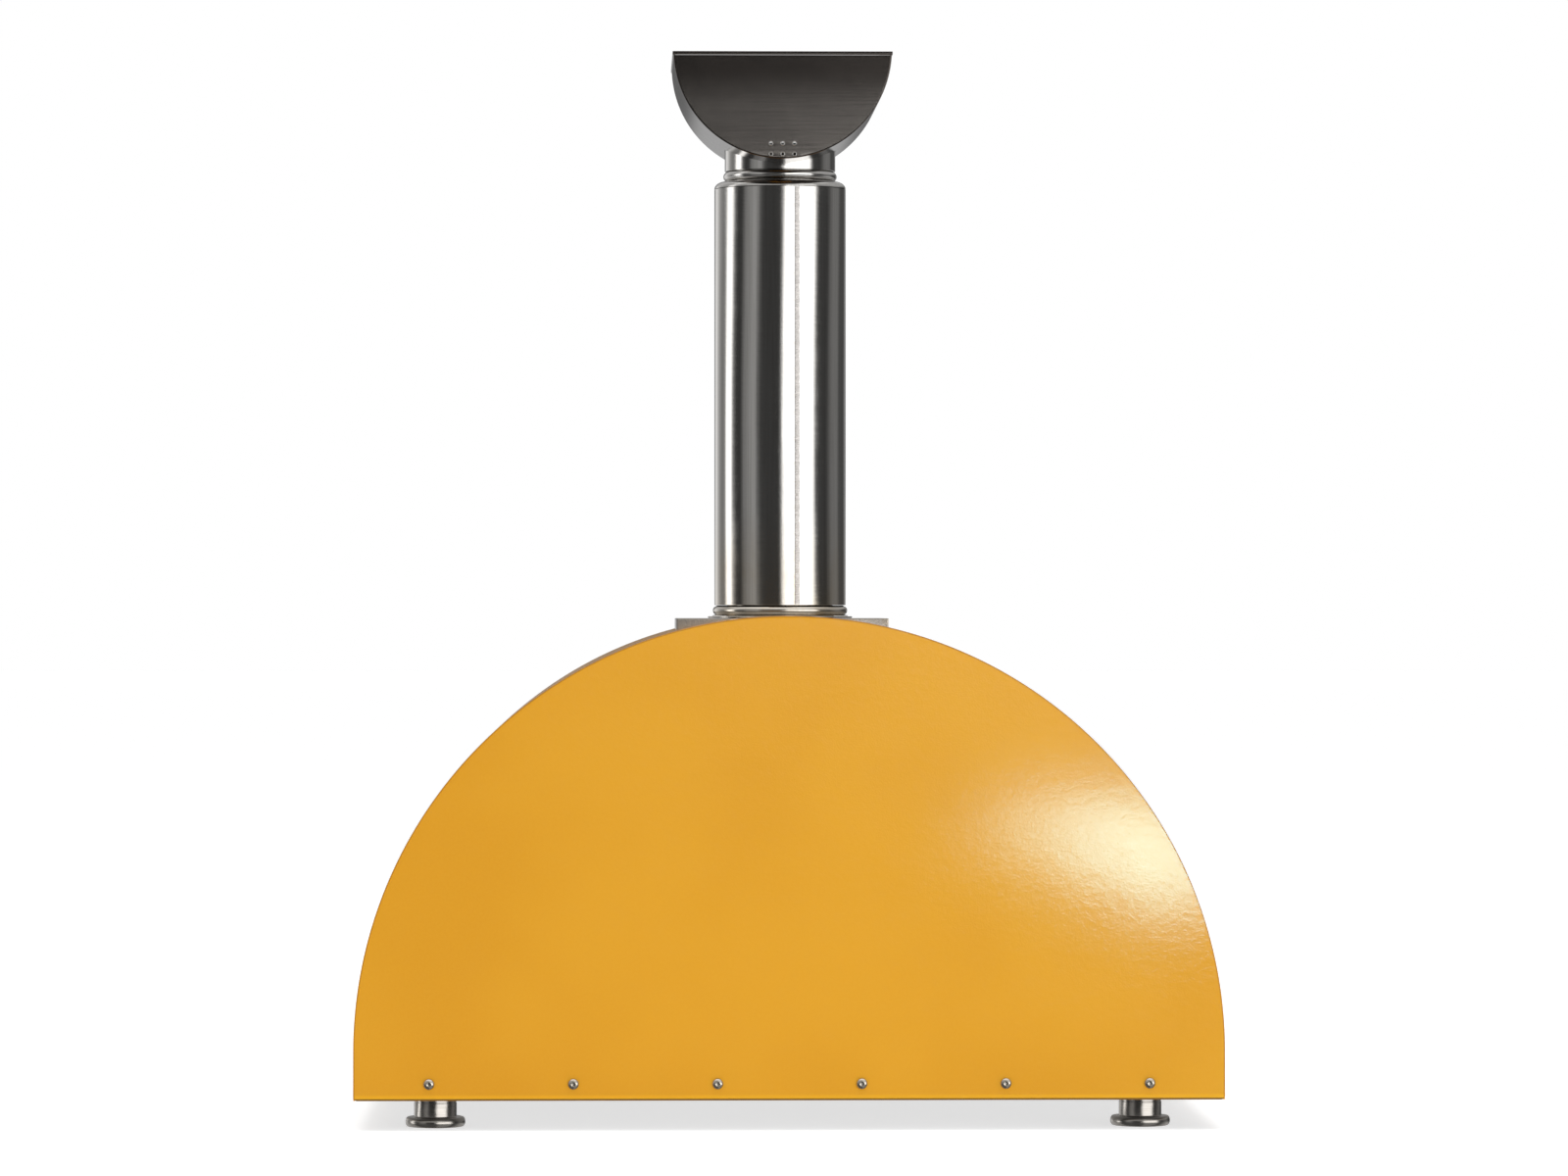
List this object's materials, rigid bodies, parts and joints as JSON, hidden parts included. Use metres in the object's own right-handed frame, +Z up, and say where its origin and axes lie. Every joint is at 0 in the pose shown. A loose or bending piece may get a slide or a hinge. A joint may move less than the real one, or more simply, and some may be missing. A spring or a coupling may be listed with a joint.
{
  "type": "wood fired pizza oven",
  "caption": "Countertop wood fired pizza oven: half-round yellow shell on short feet, insulated chamber, lift-out door, twin-wall flue and half-round cowl.",
  "frame": {"origin": "centre of the bounding box's underside, on the surface that the feet stand on", "axes": "+Z up, -Y towards the mouth and the door, +X to the right as seen from the front"},
  "size_m": [0.75, 0.563, 0.95],
  "materials": {
    "yellow_coating": "semi-gloss powder coat, warm yellow",
    "facade_steel": "brushed stainless",
    "tray_steel": "satin zinc-coated sheet",
    "foot_steel": "fine turned stainless",
    "screw_steel": "plain stainless",
    "chamber_steel": "heat-tinted stainless with soot",
    "ceramic_fibre": "white needled ceramic fibre",
    "insulation_board": "pressed calcium silicate board",
    "refractory": "cordierite-like floor tile, matte",
    "flue_steel": "vertically brushed, bright",
    "cowl_steel": "brushed, darkened by smoke",
    "door_steel": "brushed stainless",
    "grip_wood": "oiled hardwood",
    "dial_face": "white printed dial",
    "needle_paint": "red lacquer",
    "lens_glass": "clear flat glass"
  },
  "bodies": {
    "oven": {"rear_panel": "yellow_coating", "dome_shell": "yellow_coating", "front_facade": "facade_steel", "landing_shelf": "facade_steel", "shelf_bracket": "facade_steel", "flue_box": "facade_steel", "flue_spigot": "facade_steel", "base_tray": "tray_steel", "foot_rear_left": "foot_steel", "foot_rear_right": "foot_steel", "foot_front_left": "foot_steel", "foot_front_right": "foot_steel", "foot_nut_rear_left": "screw_steel", "foot_nut_rear_right": "screw_steel", "foot_nut_front_left": "screw_steel", "foot_nut_front_right": "screw_steel", "rear_screw_1": "screw_steel", "rear_screw_2": "screw_steel", "rear_screw_3": "screw_steel", "rear_screw_4": "screw_steel", "rear_screw_5": "screw_steel", "rear_screw_6": "screw_steel", "facade_screw_1": "screw_steel", "facade_screw_2": "screw_steel", "facade_screw_3": "screw_steel", "facade_screw_4": "screw_steel", "shelf_screw_left": "screw_steel", "shelf_screw_right": "screw_steel", "inner_vault": "chamber_steel", "chamber_back_wall": "chamber_steel", "chamber_front_wall": "chamber_steel", "mouth_tunnel": "chamber_steel", "insulation_blanket": "ceramic_fibre", "insulation_back_pad": "ceramic_fibre", "insulation_front_pad": "ceramic_fibre", "floor_insulation_board": "insulation_board", "floor_brick_left": "refractory", "floor_brick_right": "refractory"},
    "door": {"door_outer_panel": "door_steel", "door_inner_pan": "door_steel", "door_insulation": "ceramic_fibre", "door_handle_bracket_left": "door_steel", "door_handle_bracket_right": "door_steel", "door_handle_grip": "grip_wood", "handle_end_screw_left": "screw_steel", "handle_end_screw_right": "screw_steel", "thermometer_case": "door_steel", "thermometer_dial": "dial_face", "thermometer_lens": "lens_glass", "thermometer_probe": "screw_steel"},
    "needle": {"thermometer_needle": "needle_paint"},
    "flue": {"flue_sleeve": "flue_steel", "flue_liner": "flue_steel", "flue_base_ring": "flue_steel", "flue_top_ring": "flue_steel"},
    "cap_seat": {"cap_seat_ring": "flue_steel"},
    "cowl": {"cap_neck": "flue_steel", "cap_trough": "cowl_steel", "cap_lid": "cowl_steel", "cap_back_plate": "cowl_steel"}
  },
  "joints": [
    {"name": "door_slide", "type": "slide", "parent": "oven", "child": "door", "axis": [0, -1, 0], "range_m": [0, 0.25]},
    {"name": "thermometer_needle_turn", "type": "hinge", "parent": "door", "child": "needle", "pos_m": [0, -0.2286, 0.235], "axis": [0, 1, 0], "range_deg": [0, 270], "stiffness_Nm_per_rad": 0.001},
    {"name": "flue_lift", "type": "slide", "parent": "oven", "child": "flue", "axis": [0, 0, 1], "range_m": [0, 0.07]},
    {"name": "cap_lift", "type": "slide", "parent": "flue", "child": "cap_seat", "axis": [0, 0, 1], "range_m": [0, 0.05]},
    {"name": "cap_turn", "type": "hinge", "parent": "cap_seat", "child": "cowl", "pos_m": [0, -0.0665, 0.85], "axis": [0, 0, 1], "continuous": true}
  ]
}
